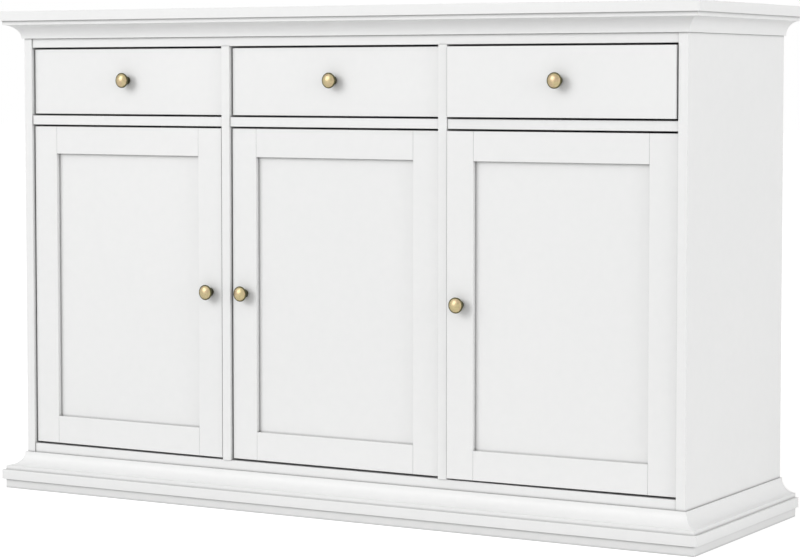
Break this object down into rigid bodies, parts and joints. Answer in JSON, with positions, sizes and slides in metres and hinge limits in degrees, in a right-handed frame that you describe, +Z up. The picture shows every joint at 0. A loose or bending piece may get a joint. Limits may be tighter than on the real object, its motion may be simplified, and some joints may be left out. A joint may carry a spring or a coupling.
{
  "type": "sideboard",
  "caption": "Long white sideboard with a row of drawers over a row of panelled doors, a cove-moulded cornice and base, and small brass mushroom knobs.",
  "frame": {"origin": "on the floor, under the middle of the overall width and depth", "axes": "+Z up, +X to the right seen from the front, +Y towards the back; the fronts face -Y"},
  "size_m": [1.346, 0.427, 0.85],
  "materials": {
    "white_paint": "satin white paint",
    "knob_brass": "antique, polished on the dome",
    "zinc_steel": "zinc plated",
    "drawer_box": "white foil",
    "back_sheet": "white-faced thin board"
  },
  "bodies": {
    "carcass": {"back_sheets": "back_sheet", "base_board": "white_paint", "base_strip_front": "white_paint", "base_strip_left": "white_paint", "base_strip_right": "white_paint", "bottom_panel": "white_paint", "cabinet_runners": "zinc_steel", "cornice_strip_front": "white_paint", "cornice_strip_left": "white_paint", "cornice_strip_right": "white_paint", "divider_left": "white_paint", "divider_right": "white_paint", "drawer_shelf_centre": "white_paint", "drawer_shelf_left": "white_paint", "drawer_shelf_right": "white_paint", "hinge_arms": "zinc_steel", "loose_shelves": "white_paint", "plinth_strips": "white_paint", "rear_rails": "white_paint", "shelf_pins": "zinc_steel", "side_panel_left": "white_paint", "side_panel_right": "white_paint", "top_board": "white_paint", "top_panel": "white_paint"},
    "drawer_left": {"drawer_left_back": "drawer_box", "drawer_left_bottom": "drawer_box", "drawer_left_front": "white_paint", "drawer_left_knob": "knob_brass", "drawer_left_runners": "zinc_steel", "drawer_left_sides": "drawer_box"},
    "door_left": {"door_left_hinge_cups": "zinc_steel", "door_left_hinge_stile": "white_paint", "door_left_knob": "knob_brass", "door_left_knob_stile": "white_paint", "door_left_panel": "white_paint", "door_left_rails": "white_paint"},
    "drawer_centre": {"drawer_centre_back": "drawer_box", "drawer_centre_bottom": "drawer_box", "drawer_centre_front": "white_paint", "drawer_centre_knob": "knob_brass", "drawer_centre_runners": "zinc_steel", "drawer_centre_sides": "drawer_box"},
    "door_centre": {"door_centre_hinge_cups": "zinc_steel", "door_centre_hinge_stile": "white_paint", "door_centre_knob": "knob_brass", "door_centre_knob_stile": "white_paint", "door_centre_panel": "white_paint", "door_centre_rails": "white_paint"},
    "drawer_right": {"drawer_right_back": "drawer_box", "drawer_right_bottom": "drawer_box", "drawer_right_front": "white_paint", "drawer_right_knob": "knob_brass", "drawer_right_runners": "zinc_steel", "drawer_right_sides": "drawer_box"},
    "door_right": {"door_right_hinge_cups": "zinc_steel", "door_right_hinge_stile": "white_paint", "door_right_knob": "knob_brass", "door_right_knob_stile": "white_paint", "door_right_panel": "white_paint", "door_right_rails": "white_paint"}
  },
  "joints": [
    {"name": "drawer_left_slide", "type": "slide", "parent": "carcass", "child": "drawer_left", "axis": [0, -1, 0], "range_m": [0, 0.27]},
    {"name": "drawer_centre_slide", "type": "slide", "parent": "carcass", "child": "drawer_centre", "axis": [0, -1, 0], "range_m": [0, 0.27]},
    {"name": "drawer_right_slide", "type": "slide", "parent": "carcass", "child": "drawer_right", "axis": [0, -1, 0], "range_m": [-0.0112, 0.2588]},
    {"name": "door_left_hinge", "type": "hinge", "parent": "carcass", "child": "door_left", "pos_m": [-0.6108, -0.1687, 0.365], "axis": [0, 0, -1], "range_deg": [-0.5, 104.5]},
    {"name": "door_centre_hinge", "type": "hinge", "parent": "carcass", "child": "door_centre", "pos_m": [0.18947, -0.1687, 0.365], "axis": [0, 0, 1], "range_deg": [0, 105]},
    {"name": "door_right_hinge", "type": "hinge", "parent": "carcass", "child": "door_right", "pos_m": [0.6108, -0.1687, 0.365], "axis": [0, 0, 1], "range_deg": [-1.5, 103.5]}
  ]
}
